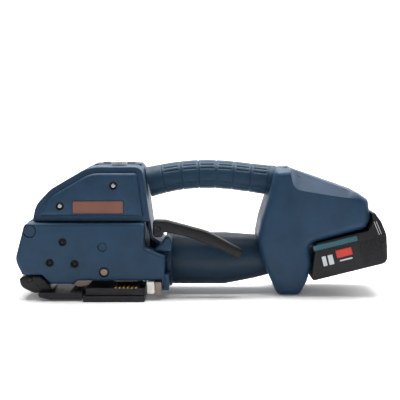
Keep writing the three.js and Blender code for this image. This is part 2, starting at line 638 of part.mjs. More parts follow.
function gripSleeve() {
  const core = ovalBar(GRIP_HALF - SLEEVE_WALL, GRIP_HALF_HEIGHT - SLEEVE_WALL, 9);
  const sleeve = ovalBar(GRIP_HALF, GRIP_HALF_HEIGHT, 9, sleeveLine());
  const headSide = block(-FAR_AWAY, -48, -FAR_AWAY, FAR_AWAY, 0, FAR_AWAY);
  const rearSide = block(67, FAR_AWAY, -FAR_AWAY, FAR_AWAY, 0, FAR_AWAY);
  return cut(sleeve, core, headSide, rearSide);
}

part('grip_near', gripHalf(-1), shellBlue);
part('grip_far', gripHalf(1), shellBlue);
part('grip_sleeve', gripSleeve(), gripBlue);

// ---- Inside the rear housing ----
function statusLens() {
  const profile = [[0, 122], [4, 122], [4, 129.5], [3.2, 130.8], [1.6, 131.4], [0, 131.5]];
  const dome = new THREE.LatheGeometry(profile.map(([r, z]) => new THREE.Vector2(r, z)), 20);
  return dome.rotateX(Math.PI / 2).translate(88, 0, 0);
}

part('status_lens', statusLens(), clearLens);
part('control_board', block(86, 148, -26, 26, 88, 90), boardGreen);
part('terminal_block', toBatteryPlace(block(
  TONGUE.s0 + 4, TONGUE.s0 + 28, -16, 16, TONGUE.h1 + 1, TONGUE.h1 + 8,
)), blackPlastic);

// ---- Battery, drawn in its own frame: s along the slide, h across it ----
const battery = new THREE.Group();
battery.rotation.y = -BATTERY_TILT;
battery.position.set(BATTERY_CORNER[0], 0, BATTERY_CORNER[1]);
tool.add(battery);

const BATTERY_SPLIT = 28;
const BATTERY_WALL = 1.6;
const batteryCorners = [
  [82.5, 0, 7], [2.8, 0, 3], [13.8, 28, 8], [16.6, 36.4, 3], [70.5, 36.4, 2], [77.6, 45, 2], [77.8, 53, 1.5],
  [80, 53, 3], [85.5, 42, 8], [87.8, 28, 20],
];
const cavityCorners = [
  [81, 0, 6], [2.8, 0, 3], [13.8, 28, 8], [16.6, 36.4, 3], [70.5, 36.4, 2], [83, 30, 3],
];
const LATCH = { s0: 79.5, s1: 85.5, h0: 14, h1: 22 };

function batteryShell(lower) {
  const outer = slab(batteryCorners, -BATTERY_HALF, BATTERY_HALF);
  const hollow = slab(inset(cavityCorners, BATTERY_WALL), -BATTERY_HALF + 2.5, BATTERY_HALF - 2.5);
  const share = lower
    ? block(-10, 100, -50, 50, -10, BATTERY_SPLIT - GAP / 2)
    : block(-10, 100, -50, 50, BATTERY_SPLIT + GAP / 2, 70);
  const shell = cut(common(outer, share), hollow);
  if (!lower) {
    const tongue = block(TONGUE.s0, TONGUE.s1, -TONGUE.half, TONGUE.half, TONGUE.h0 - 1, TONGUE.h1);
    return join(shell, tongue);
  }
  return cut(shell, block(
    LATCH.s0 - GAP, LATCH.s1 + GAP, -50, 50, LATCH.h0 - GAP, LATCH.h1 + GAP,
  ));
}

// Five cells in two rows, welded into one pack by nickel strips on their ends.
function cellPack() {
  const radius = 8.9;
  const low = [19, 39, 59].map((s) => [s, 10.8]);
  const high = [29, 49].map((s) => [s, 25.6]);
  const cells = [...low, ...high].map((place) => barY(radius, -32.5, 32.5, place, 18));
  const strips = [-33, 32.3].map((y) => block(15, 63, y, y + 0.7, 14, 22));
  return join(...cells, ...strips);
}

function latchButton(side) {
  const outer = side * (BATTERY_HALF + 1.3);
  const innerEnd = side * (BATTERY_HALF - 6);
  return slab([
    [LATCH.s0, LATCH.h0, 2.5], [LATCH.s0, LATCH.h1, 2.5],
    [LATCH.s1, LATCH.h1, 2.5], [LATCH.s1, LATCH.h0, 2.5],
  ], Math.min(outer, innerEnd), Math.max(outer, innerEnd), 0.5);
}

part('battery_case', batteryShell(true), blackPlastic, battery);
part('battery_lid', batteryShell(false), blackPlastic, battery);
part('cell_pack', cellPack(), cellWrap, battery);
part('battery_stripe', block(13, 58, -BATTERY_HALF - 0.9, -BATTERY_HALF - 0.1, 29.5, 34.5), teal, battery);
part('battery_badge', block(34, 50, -BATTERY_HALF - 0.9, -BATTERY_HALF - 0.1, 17, 25), red, battery);
part('battery_latch_near', latchButton(-1), blackPlastic, battery);
part('battery_latch_far', latchButton(1), blackPlastic, battery);

// ---- Origin: the bottom centre of the whole tool ----
const limits = new THREE.Box3().setFromObject(tool, true);
const middle = limits.getCenter(new THREE.Vector3());
tool.position.set(-middle.x, -middle.y, -limits.min.z);

export default tool;
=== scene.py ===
"""Looks of the battery strapping tool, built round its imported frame.

Lengths are written in millimetres in the drawing's datum (handle centre plane, floor) and turned into
the frame's metres by place(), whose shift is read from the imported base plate.
"""

import json
import math

import bmesh
import bpy
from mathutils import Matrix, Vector


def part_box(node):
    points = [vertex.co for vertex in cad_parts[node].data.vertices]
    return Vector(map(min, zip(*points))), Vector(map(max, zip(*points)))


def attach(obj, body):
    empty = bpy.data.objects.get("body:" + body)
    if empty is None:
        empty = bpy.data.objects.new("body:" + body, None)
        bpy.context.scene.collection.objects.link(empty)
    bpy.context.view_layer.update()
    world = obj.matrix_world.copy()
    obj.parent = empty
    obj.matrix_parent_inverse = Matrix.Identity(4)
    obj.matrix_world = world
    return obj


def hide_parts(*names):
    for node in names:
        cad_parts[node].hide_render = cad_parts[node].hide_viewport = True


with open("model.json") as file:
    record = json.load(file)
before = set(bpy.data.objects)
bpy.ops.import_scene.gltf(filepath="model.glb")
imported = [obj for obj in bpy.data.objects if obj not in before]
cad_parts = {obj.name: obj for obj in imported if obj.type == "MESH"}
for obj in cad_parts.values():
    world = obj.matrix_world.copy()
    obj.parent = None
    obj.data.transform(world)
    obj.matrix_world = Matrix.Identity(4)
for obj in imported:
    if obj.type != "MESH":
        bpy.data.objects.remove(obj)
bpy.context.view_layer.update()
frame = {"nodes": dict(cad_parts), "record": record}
nodes = frame["nodes"]

MM = 0.001
BASE_PLATE_NEAR = -64.0
BASE_PLATE_END = -54.5
base_low, base_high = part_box("base_plate")
SHIFT = Vector((base_high.x / MM - BASE_PLATE_END, base_low.y / MM - BASE_PLATE_NEAR, base_low.z / MM))


def place(x, y, z):
    """A point of the drawing in the frame, in metres."""
    return (Vector((x, y, z)) + SHIFT) * MM


# ---- Materials ----
def material(name, colour, roughness, metallic=0.0, grain=0.12, grain_scale=900.0, mottle=0.12,
             wear=0.25):
    """A procedural surface: mottled colour, worn edges, uneven gloss and a fine moulded grain."""
    made = bpy.data.materials.new(name)
    made.use_nodes = True
    tree = made.node_tree
    shader = tree.nodes["Principled BSDF"]
    shader.inputs["Metallic"].default_value = metallic
    shader.inputs["Specular IOR Level"].default_value = 0.5 if metallic else 0.28
    place_of = tree.nodes.new("ShaderNodeTexCoord")

    def noise(scale, detail):
        made_noise = tree.nodes.new("ShaderNodeTexNoise")
        made_noise.inputs["Scale"].default_value = scale
        made_noise.inputs["Detail"].default_value = detail
        tree.links.new(place_of.outputs["Object"], made_noise.inputs["Vector"])
        return made_noise

    def ramp(source, low, high, stops=(0.3, 0.7)):
        made_ramp = tree.nodes.new("ShaderNodeValToRGB")
        for element, stop, value in zip(made_ramp.color_ramp.elements, stops, (low, high)):
            element.position = stop
            element.color = value
        tree.links.new(source, made_ramp.inputs["Fac"])
        return made_ramp

    def shade(factor):
        return (*(min(1.0, channel * factor) for channel in colour), 1.0)

    body = ramp(noise(45.0, 4.0).outputs["Fac"], shade(1.0 - mottle), shade(1.0 + mottle))
    edges = ramp(tree.nodes.new("ShaderNodeNewGeometry").outputs["Pointiness"],
                 (0.0, 0.0, 0.0, 1.0), (wear, wear, wear, 1.0), (0.51, 0.58))
    worn = tree.nodes.new("ShaderNodeMix")
    worn.data_type = "RGBA"
    tree.links.new(edges.outputs["Color"], worn.inputs["Factor"])
    tree.links.new(body.outputs["Color"], worn.inputs["A"])
    worn.inputs["B"].default_value = shade(1.9)
    tree.links.new(worn.outputs["Result"], shader.inputs["Base Color"])
    gloss = ramp(noise(160.0, 3.0).outputs["Fac"], (roughness - 0.06,) * 3 + (1.0,),
                 (roughness + 0.06,) * 3 + (1.0,))
    tree.links.new(gloss.outputs["Color"], shader.inputs["Roughness"])
    bump = tree.nodes.new("ShaderNodeBump")
    bump.inputs["Strength"].default_value = grain
    bump.inputs["Distance"].default_value = 0.0003
    tree.links.new(noise(grain_scale, 2.0).outputs["Fac"], bump.inputs["Height"])
    tree.links.new(bump.outputs["Normal"], shader.inputs["Normal"])
    return made


def hexcolour(code):
    """Linear colour of an sRGB hex code."""
    channels = [int(code[index:index + 2], 16) / 255.0 for index in (0, 2, 4)]
    return tuple(c / 12.92 if c <= 0.04045 else ((c + 0.055) / 1.055) ** 2.4 for c in channels)


LOOKS = {
    "shell": material("shell_blue", hexcolour("18364f"), 0.5, grain=0.3),
    "grip": material("grip_blue", hexcolour("153347"), 0.6, grain=0.5, grain_scale=600.0),
    # Painted shade: the tube is the shell's blue plastic, made darker here because it sits recessed and the
    # front light reaches it less.
    "tube": material("tube_shell_painted_shade", hexcolour("132b3d"), 0.45, grain=0.3),
    "cap": material("cap_blue", hexcolour("1a3247"), 0.4),
    "black_plastic": material("black_nylon", hexcolour("101114"), 0.45, grain=0.3),
    "black_metal": material("black_steel", hexcolour("1c1b20"), 0.42, metallic=0.6, wear=0.5),
    "steel": material("bright_steel", hexcolour("b9bbbd"), 0.3, metallic=1.0, mottle=0.08),
    "dark_steel": material("dark_steel", hexcolour("6a5f58"), 0.4, metallic=0.9),
    "aluminium": material("cast_aluminium", hexcolour("b4b6b8"), 0.45, metallic=0.9),
    "brass": material("cut_brass", hexcolour("c49a4a"), 0.35, metallic=1.0),
    "label": material("bronze_label", hexcolour("6f4436"), 0.45, metallic=0.1, grain=0.15),
    "ivory": material("ivory_plastic", hexcolour("e9e6dd"), 0.4),
    "belt": material("belt_rubber", hexcolour("1a1a1a"), 0.85),
    "teal": material("teal_stripe", hexcolour("2d5d68"), 0.4, wear=0.0),
    "red": material("red_badge", hexcolour("c23a30"), 0.4, wear=0.0),
    "board": material("board_green", hexcolour("1f5b36"), 0.5),
    "lens": material("frosted_lens", hexcolour("c8d4de"), 0.2, mottle=0.04),
    "cells": material("cell_wrap", hexcolour("3a7f86"), 0.35),
    "print": material("white_print", hexcolour("c9ced2"), 0.5, mottle=0.04, wear=0.0),
}


# ---- Shapes ----
def outline(corners, steps=7):
    """Points of a closed outline through corners (x, z, radius), each rounded by an arc-like curve."""
    points = []
    for index, (x, z, radius) in enumerate(corners):
        here = Vector((x, z))
        back = Vector(corners[index - 1][:2]) - here
        ahead = Vector(corners[(index + 1) % len(corners)][:2]) - here
        half_turn = (math.pi - back.angle(ahead)) / 2
        trim = min(radius * math.tan(half_turn), 0.48 * back.length, 0.48 * ahead.length)
        start = here + back.normalized() * trim
        end = here + ahead.normalized() * trim
        for step in range(steps + 1):
            t = step / steps
            points.append(start * (1 - t) ** 2 + here * 2 * t * (1 - t) + end * t ** 2)
    return points


def inset(corners, distance):
    """The same clockwise corners moved inwards."""
    moved = []
    for index, (x, z, radius) in enumerate(corners):
        here = Vector((x, z))
        before = (here - Vector(corners[index - 1][:2])).normalized()
        after = (Vector(corners[(index + 1) % len(corners)][:2]) - here).normalized()
        turn_in = Vector((before.y, -before.x)) + Vector((after.y, -after.x))
        reach = distance / (1 + before.dot(after))
        concave = before.x * after.y - before.y * after.x > 0
        change = distance if concave else -distance
        moved.append((x + turn_in.x * reach, z + turn_in.y * reach, max(radius + change, 0.6)))
    return moved


def rim(depth, rounding, steps=6):
    """Inset and depth of each ring of a rounded rim, from its face to its side."""
    if rounding == 0:
        return [(0.0, depth)]
    quarter = [math.pi / 2 * step / steps for step in range(steps + 1)]
    return [(rounding * (1 - math.sin(a)), depth + rounding * (1 - math.cos(a))) for a in quarter]


def object_from(name, points, faces, look, smooth=35):
    mesh = bpy.data.meshes.new(name)
    mesh.from_pydata(points, [], faces)
    mesh.update()
    tidy = bmesh.new()
    tidy.from_mesh(mesh)
    bmesh.ops.remove_doubles(tidy, verts=tidy.verts, dist=1e-6)
    bmesh.ops.recalc_face_normals(tidy, faces=tidy.faces)
    tidy.to_mesh(mesh)
    tidy.free()
    made = bpy.data.objects.new(name, mesh)
    bpy.context.scene.collection.objects.link(made)
    mesh.materials.append(LOOKS[look])
    mesh.shade_smooth()
    mesh.set_sharp_from_angle(angle=math.radians(smooth))
    return made


def slab(name, corners, y0, y1, look, near=0.0, far=0.0, to_frame=place):
    """A clockwise outline drawn out across the tool, with a rounded rim on each face."""
    rings = [(d, y) for d, y in rim(y0, near)]
    rings += [(d, y1 - (y - y1)) for d, y in reversed(rim(y1, far))]
    points, faces = [], []
    for distance, y in rings:
        points += [to_frame(p.x, y, p.y) for p in outline(inset(corners, distance))]
    count = len(points) // len(rings)
    for ring in range(len(rings) - 1):
        for index in range(count):
            after = (index + 1) % count
            low, high = ring * count, (ring + 1) * count
            faces.append((low + index, low + after, high + after, high + index))
    faces.append(tuple(range(count)))
    faces.append(tuple(range(len(points) - count, len(points))))
    return object_from(name, points, faces, look)


def carve(piece, *cutters, how="DIFFERENCE"):
    """Cuts solids out of a piece (or joins them) and drops them."""
    for cutter in cutters:
        change = piece.modifiers.new("carve", "BOOLEAN")
        change.operation = how
        change.solver = "EXACT"
        change.object = cutter
        with bpy.context.temp_override(object=piece, active_object=piece):
            bpy.ops.object.modifier_apply(modifier=change.name)
        bpy.data.objects.remove(cutter)
    piece.data.set_sharp_from_angle(angle=math.radians(35))
    return piece


def box(name, x0, x1, y0, y1, z0, z1, look="shell", to_frame=place, radius=0.3, round_rim=0.0):
    corners = [(x0, z0, radius), (x0, z1, radius), (x1, z1, radius), (x1, z0, radius)]
    return slab(name, corners, y0, y1, look, round_rim, round_rim, to_frame)


def disc_y(name, x, z, radius, y0, y1, look, near=0.0, sides=48):
    """A round piece across the tool, with its near rim rounded."""
    rings = [(radius - d, y) for d, y in rim(y0, near, 4)] + [(radius, y1)]
    def spin(r, a, y):
        return place(x + r * math.cos(a), y, z + r * math.sin(a))

    return revolve(name, rings, spin, look, sides)


def revolve(name, rings, spin, look, sides=64, closed=False):
    points, faces = [], []
    for radius, along in rings:
        points += [spin(radius, 2 * math.pi * step / sides, along) for step in range(sides)]
    last = len(rings) if closed else len(rings) - 1
    for ring in range(last):
        for step in range(sides):
            after = (step + 1) % sides
            low, high = ring * sides, ((ring + 1) % len(rings)) * sides
            faces.append((low + step, low + after, high + after, high + step))
    if not closed:
        faces.append(tuple(range(sides)))
        faces.append(tuple(range(len(points) - sides, len(points))))
    return object_from(name, points, faces, look)


def ring_y(name, x, z, rings, look, sides):
    """A closed ring across the tool, given by its radius and place along Y all the way round."""
    def spin(r, a, y):
        return place(x + r * math.cos(a), y, z + r * math.sin(a))

    return revolve(name, rings, spin, look, sides, True)


def finish_piece(piece, body, look_slot, *replaced):
    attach(piece, body)
    if replaced:
        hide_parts(*replaced)
    return piece


# ---- Head ----
HEAD_TOP = 131.8
HEAD_REAR = -35.0
COVER_SPLIT = 76.5
JOINT_Y = -30.0
UPPER_FACE = -48.0
LOWER_FACE = -52.0
COVER_INSIDE = LOWER_FACE + 4.4
HEAD_FAR = 50.0
WALL = 3.0

BROW = [(-163.8, 93, 24), (-149, 109, 40), (-110, HEAD_TOP, 40), (-57.5, HEAD_TOP, 10)]
HEAD = [(-177, 24.5, 3), (-183.9, 39.5, 14), (-174, 75.5, 3), (-167, 77.5, 3), *BROW,
        (-48, 60, 4), (-36, 52, 3), (HEAD_REAR, 18.7, 3)]
UPPER = [(-167, COVER_SPLIT + 0.4, 3), *BROW, (-49.4, COVER_SPLIT + 0.4, 3)]
LOWER = [(-176.8, 24.4, 2), (-183.9, 39.5, 16), (-174, COVER_SPLIT - 1, 5), (-166, COVER_SPLIT, 3),
         (-55.4, COVER_SPLIT, 4), (-55.2, 52, 4), (HEAD_REAR, 43.6, 3), (HEAD_REAR, 18.7, 3),
         (-122, 18.7, 2), (-125.5, 15.2, 2), (-148.5, 15.2, 2), (-157.4, 24.3, 3)]


def head_shell():
    shell = slab("head_shell_skin", HEAD, JOINT_Y + 0.6, HEAD_FAR - 1.4, "shell", 1.2, 16.0)
    hollow = slab("cut", inset(HEAD, WALL), JOINT_Y - 5, HEAD_FAR - WALL - 12, "shell")
    underside = box("cut", -180, HEAD_REAR - 5, -80, 28.5, -5, 28)
    low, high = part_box("control_panel")
    panel = [v / MM for v in (low.x, high.x, low.y, high.y)]
    seat = box("cut", panel[0] - SHIFT.x - 0.3, panel[1] - SHIFT.x + 0.3, panel[2] - SHIFT.y - 0.3,
               panel[3] - SHIFT.y + 0.3, HEAD_TOP - 1.2, HEAD_TOP + 5)
    carve(shell, hollow, underside, seat)
    finish_piece(shell, "housing", "shell", "head_shell")


def upper_cover():
    cover = slab("upper_cover_skin", UPPER, UPPER_FACE + 4.6, JOINT_Y, "shell", 1.6, 0.8)
    raised = slab("raised", inset(UPPER, 6.0), UPPER_FACE, JOINT_Y - 1, "shell", 4.0)
    carve(cover, raised, how="UNION")
    low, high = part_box("label_plate")
    seat = box("cut", low.x / MM - SHIFT.x - 0.8, high.x / MM - SHIFT.x + 0.8, UPPER_FACE - 2,
               UPPER_FACE + 1.0, low.z / MM - 0.8, high.z / MM + 0.8, radius=1.5)
    carve(cover, seat, *screw_seats(UPPER_FACE, (1, 2)))
    finish_piece(cover, "housing", "shell", "upper_cover")


def middle(node):
    """X and Z of a node's middle, in the drawing."""
    low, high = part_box(node)
    return (low.x + high.x) / 2 / MM - SHIFT.x, (low.z + high.z) / 2 / MM - SHIFT.z


def screw_seats(face, numbers):
    return [disc_y("cut", *middle(f"cover_screw_{number}"), 4.3, face - 2, face + 3, "shell")
            for number in numbers]


def lower_cover():
    cover = slab("lower_cover_skin", LOWER, LOWER_FACE, JOINT_Y, "shell", 3.4, 0.8)
    post = box("post", -37.6, HEAD_REAR + 4, LOWER_FACE + 3, JOINT_Y, 8.6, 25, round_rim=1.0)
    carve(cover, post, how="UNION")
    hollow = slab("cut", inset(LOWER, WALL + 0.5), COVER_INSIDE, JOINT_Y + 5, "shell")
    wheel_window = box("cut", -135, -104, COVER_INSIDE, JOINT_Y + 5, 0, 30)
    weld_window = box("cut", -88, -54, COVER_INSIDE, JOINT_Y + 5, 0, 30)
    seats = [disc_y("cut", *middle(node), radius, LOWER_FACE - 2, LOWER_FACE + 3.2, "shell")
             for node, radius in (("hole_plug", 4.6), ("pivot_cap", 6.6), ("weld_pin", 5.4))]
    carve(cover, hollow, wheel_window, weld_window, *seats, *screw_seats(LOWER_FACE, (3, 4, 5)))
    finish_piece(cover, "housing", "shell", "lower_cover")
    x, z = middle("weld_pin")
    outer, inner, depth = 5.3, 4.3, LOWER_FACE + 3
    rings = [(outer, LOWER_FACE + 0.3), (outer, depth), (inner, depth), (inner, LOWER_FACE + 0.6)]
    ring = ring_y("weld_pin_ring", x, z, rings, "belt", 48)
    finish_piece(ring, "housing", "belt")


COLLAR_EAR = [(-47, 47, 2), (-44, 51, 4), (-38, 55, 3), (-34, 61.5, 2.5), (-30.5, 61.5, 2.5),
              (-28.5, 56, 4), (-28.5, 47, 2)]


def collar_ear():
    """The lobe that joins the head's foot to the collar of the tube, under the lever."""
    ear = slab("collar_ear", COLLAR_EAR, -43, -20, "shell", 2.0, 0.5)
    finish_piece(ear, "housing", "shell")


def screw(number, face):
    """A socket screw in a black cup."""
    x, z = middle(f"cover_screw_{number}")
    rings = [(4.2, face + 0.3), (4.2, face + 3), (2.3, face + 3), (3.2, face + 0.9)]
    cup = ring_y(f"screw_cup_{number}", x, z, rings, "belt", 40)
    finish_piece(cup, "housing", "belt")
    look = "steel" if face == UPPER_FACE else "black_metal"
    head = disc_y(f"screw_head_{number}", x, z, 2.2, face + 0.9, face + 3, look, 0.7, 36)
    socket = disc_y("cut", x, z, 1.2, face - 1, face + 2.2, look, 0.0, 6)
    carve(head, socket)
    finish_piece(head, "housing", look, f"cover_screw_{number}")


GEAR_COVER = [(-152, 40, 8), (-156, 62, 16), (-124, 98, 20), (-74, 102, 10), (-64, 70, 10), (-58, 40, 8)]


def gear_cover():
    """A screwed plate on the head's far face, over the gears."""
    plate = slab("gear_cover", GEAR_COVER, HEAD_FAR - 2.0, HEAD_FAR - 0.4, "shell", 0.2, 0.7)
    finish_piece(plate, "housing", "shell")
    for index, (x, z) in enumerate(((-140, 46), (-127, 90), (-80, 100), (-68, 48))):
        head = disc_y(f"gear_cover_screw_{index + 1}", x, z, 3.0, HEAD_FAR - 2.0, HEAD_FAR,
                      "black_metal")
        finish_piece(head, "housing", "black_metal")


def dial():
    """The tension dial: a knurled knob with a raised pointer."""
    low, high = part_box("tension_dial")
    middle_point = (low + high) / 2
    radius, flutes = (high.x - low.x) / 2 / MM, 18
    bottom, top = low.z / MM, high.z / MM
    rings = [(radius * 0.7, top - 0.5), (radius * 0.86, top - 0.5), (radius * 0.92, top - 0.9),
             (radius, top - 1.6), (radius, bottom)]

    def spin(r, a, z):
        ridge = 1 - 0.05 * (1 - math.cos(flutes * a)) if r == radius else 1.0
        return Vector((middle_point.x + r * ridge * math.cos(a) * MM,
                       middle_point.y + r * ridge * math.sin(a) * MM, z * MM))

    knob = revolve("tension_dial_skin", rings, spin, "ivory", 144)
    finish_piece(knob, "dial", "ivory", "tension_dial")
    centre = (middle_point / MM - SHIFT)
    pointer = box("tension_dial_pointer", centre.x - radius * 0.6, centre.x + radius * 0.2,
                  centre.y - 0.8, centre.y + 0.8, top - SHIFT.z - 0.9, top - SHIFT.z, "black_metal",
                  radius=0.3, round_rim=0.2)
    finish_piece(pointer, "dial", "black_metal")


# ---- Body: housing halves, sleeve, tube ----
HOUSING_HALF = 36.0
HOUSING = [(109, 14, 5), (101, 0, 7), (79, 0, 7), (65, 31, 40), (58, 56, 24), (62, 77, 24), (70, 103, 8),
           (76, 127, 6), (91, 128.5, 14), (160, 104, 9), (169.5, 97.5, 5), (172.2, 78, 6), (168, 69, 4),
           (163, 66.8, 2), (116.4, 54, 4), (111.5, 49, 4), (113.8, 33, 12)]
TONGUE_HALF = 20.5
TILT = math.radians(14)
BATTERY_CORNER = (109.3, 14.5)
MOTOR_Z = 33.5
TUBE_RADIUS = 27.0


def battery_place(s, y, h):
    """A point of the battery's own frame (s along the slide, h across it) in the frame."""
    x = BATTERY_CORNER[0] + s * math.cos(TILT) - h * math.sin(TILT)
    z = BATTERY_CORNER[1] + s * math.sin(TILT) + h * math.cos(TILT)
    return place(x, y, z)


def shoulder(side):
    """The solid above the housing's sloping shoulder, which is cut away.

    Its foot, the crease, drops steeply behind the grip (the kick) and then falls gently to the rear.
    """
    front, length, stations, reach = 88.0, 97.0, 24, 60.0
    rise = 1.05
    level, fall, datum = 107.5, 0.16, 100
    kick, kick_start, kick_length = 22, 89.5, 2.6
    outer, inner = HOUSING_HALF + 6, HOUSING_HALF - 24
    points, faces = [], []
    for station in range(stations + 1):
        x = front + length * (station / stations) ** 2
        crease = level - fall * (x - datum) + kick * math.exp((kick_start - x) / kick_length)
        points += [
            place(x, side * outer, crease - rise * (outer - HOUSING_HALF)),
            place(x, side * inner, crease + rise * (HOUSING_HALF - inner)),
            place(x, side * inner, crease + reach),
            place(x, side * outer, crease + reach),
        ]
    for station in range(stations):
        here, there = 4 * station, 4 * (station + 1)
        for corner in range(4):
            after = (corner + 1) % 4
            faces.append((here + corner, here + after, there + after, there + corner))
    faces.append((0, 1, 2, 3))
    faces.append(tuple(range(4 * stations, 4 * stations + 4)))
    return object_from("cut", points, faces, "shell")


def housing_half(name, side, node):
    y0, y1 = (-HOUSING_HALF, -0.25) if side < 0 else (0.25, HOUSING_HALF)
    near, far = (9.0, 0.4) if side < 0 else (0.4, 9.0)
    half = slab(name, HOUSING, y0, y1, "shell", near, far)
    hollow_0, hollow_1 = (y0 + 12, 5) if side < 0 else (-5, y1 - 12)
    hollow = slab("cut", inset(HOUSING, 4.0), hollow_0, hollow_1, "shell")
    slot = box("cut", 15, 140, -TONGUE_HALF, TONGUE_HALF, 35, 42.6, to_frame=battery_place)
    carve(half, shoulder(side), hollow, slot)
    if side > 0:
        vents = [box("cut", 82, 108, y1 - 2, y1 + 5, 52 + 6 * row, 55 + 6 * row, radius=1.4)
                 for row in range(5)]
        carve(half, *vents)
    soften = half.modifiers.new("soft_creases", "BEVEL")
    soften.width = 2.0 * MM
    soften.segments = 3
    soften.limit_method = "ANGLE"
    soften.angle_limit = math.radians(28)
    finish_piece(half, "housing", "shell", node)


GRIP_POINTS = [(-53, 113.2), (-26, 118.9), (0, 121.3), (26, 120.6), (52, 117.6), (76, 114.5)]
GRIP_SEGMENTS = 6
GRIP_HALF_WIDTH = 18.0
GRIP_HALF_HEIGHT = 14.6
GRIP_FLARE = 1.1
SQUARENESS = 0.9
DASH_ROWS = (28, 46, 64, 116, 134, 152, 205, 225, 315, 335)


def grip_centre(t):
    """Centre of the grip at share t of its length, by a Catmull-Rom curve through GRIP_POINTS."""
    place_in = t * (len(GRIP_POINTS) - 1)
    index = min(int(place_in), len(GRIP_POINTS) - 2)
    local = place_in - index
    p = [Vector(GRIP_POINTS[max(0, min(len(GRIP_POINTS) - 1, index + k))]) for k in (-1, 0, 1, 2)]
    return 0.5 * (2 * p[1] + (p[2] - p[0]) * local + (2 * p[0] - 5 * p[1] + 4 * p[2] - p[3]) * local ** 2
                  + (3 * p[1] - p[0] - 3 * p[2] + p[3]) * local ** 3)


def grip_groove(t, angle):
    """How deep the sleeve's pattern cuts at a place: rings between fields, and dashes in each field."""
    first, last = 0.12, 0.93
    share = (t - first) / (last - first) * GRIP_SEGMENTS
    if not 0 <= share <= GRIP_SEGMENTS:
        return 0.0
    within = share - math.floor(share)
    ring = math.exp(-((min(within, 1 - within)) / 0.035) ** 2) * 0.8
    dash = 0.0
    if 0.14 < within < 0.86:
        for row in DASH_ROWS:
            dash = max(dash, math.exp(-((math.degrees(angle) - row) / 3.0) ** 2) * 0.9)
    return max(ring, dash)


def grip_sleeve():
    steps, sides = 220, 160
    points, faces = [], []
    for step in range(steps + 1):
        t = step / steps
        centre = grip_centre(t)
        ahead = (grip_centre(min(1, t + 0.01)) - grip_centre(max(0, t - 0.01))).normalized()
        up = Vector((-ahead.y, ahead.x))
        half_height = GRIP_HALF_HEIGHT + GRIP_FLARE * (2 * t - 1) ** 4
        for side in range(sides):
            angle = 2 * math.pi * side / sides
            deep = grip_groove(t, angle)
            cosine, sine = math.cos(angle), math.sin(angle)
            across = -(GRIP_HALF_WIDTH - deep) * math.copysign(abs(cosine) ** SQUARENESS, cosine)
            rise = (half_height - deep) * math.copysign(abs(sine) ** SQUARENESS, sine)
            points.append(place(centre.x + up.x * rise, across, centre.y + up.y * rise))
    for step in range(steps):
        for side in range(sides):
            after = (side + 1) % sides
            low, high = step * sides, (step + 1) * sides
            faces.append((low + side, low + after, high + after, high + side))
    faces.append(tuple(range(sides)))
    faces.append(tuple(range(steps * sides, (steps + 1) * sides)))
    sleeve = object_from("grip_sleeve_skin", points, faces, "grip", 50)
    finish_piece(sleeve, "housing", "grip", "grip_sleeve")


def motor_tube():
    start = HEAD_REAR + 0.4
    rings = [
        (TUBE_RADIUS - 3, start), (TUBE_RADIUS + 1.2, start), (TUBE_RADIUS + 2, start + 0.8),
        (TUBE_RADIUS + 2, start + 4.6), (TUBE_RADIUS + 1.4, start + 5.4), (TUBE_RADIUS + 0.2, start + 6),
        (TUBE_RADIUS - 0.4, start + 6.6), (TUBE_RADIUS, start + 7.6), (TUBE_RADIUS, 25),
        (TUBE_RADIUS - 0.4, 40), (TUBE_RADIUS - 1.2, 58), (TUBE_RADIUS - 3, 76), (TUBE_RADIUS - 5, 76),
        (TUBE_RADIUS - 3.4, 56), (TUBE_RADIUS - 3, 40),
    ]
    taper_start, taper, lift = 26, 0.1, 0.6

    def spin(r, a, x):
        drop = max(0.0, x - taper_start) * taper
        return place(x, (r - drop) * math.cos(a), MOTOR_Z + drop * lift + (r - drop) * math.sin(a))

    # The "tube" look is the shell's blue darkened, painted shade on the recessed tube.
    tube = revolve("motor_tube_skin", rings, spin, "tube", 96, True)
    finish_piece(tube, "housing", "shell", "motor_tube")


# ---- Lever ----
LEVER = [(-47.2, 78.6, 4), (-34, 78.4, 14), (8, 67, 60), (43.3, 47.6, 3), (39.5, 38.8, 3), (22, 48, 14),
         (-12, 61.5, 40), (-36, 66.5, 4), (-38, 61, 3), (-47.2, 61, 4)]
LEVER_PIVOT = (-42, 69.5)


def lever():
    arm = slab("lever_skin", LEVER, -44, -31, "black_plastic", 2.6, 2.6)
    bore = disc_y("cut", *LEVER_PIVOT, 2.9, -60, -20, "steel")
    carve(arm, bore)
    finish_piece(arm, "lever", "black_plastic", "lever")
    ribs, first_rib, last_rib = 5, Vector((24, 47)), Vector((37, 40.6))
    for index in range(ribs):
        x, z = first_rib.lerp(last_rib, index / (ribs - 1))
        rib = disc_y(f"lever_rib_{index + 1}", x, z, 1.1, -42.5, -32.5, "black_plastic", 0.5, 20)
        finish_piece(rib, "lever", "black_plastic")


# ---- Battery ----
BATTERY_HALF = 37.0
BATTERY = [(82.5, 0, 8), (2.8, 0, 4), (13.8, 28, 8), (16.6, 36.4, 3), (70.5, 36.4, 2), (77.6, 45, 2),
           (77.9, 53, 1.2), (81, 53, 2), (85.5, 42, 8), (87.8, 28, 20)]


def end_groove(h):
    """A cutter for one finger groove across the battery's sloping rear end."""
    half, floor, beyond = 0.8, 82 + 0.15 * h, 95
    corners = [(beyond, h - half, 0.2), (floor, h - half, 0.2), (floor, h + half, 0.2),
               (beyond, h + half, 0.2)]
    return slab("cut", corners, -24, 24, "black_plastic", to_frame=battery_place)


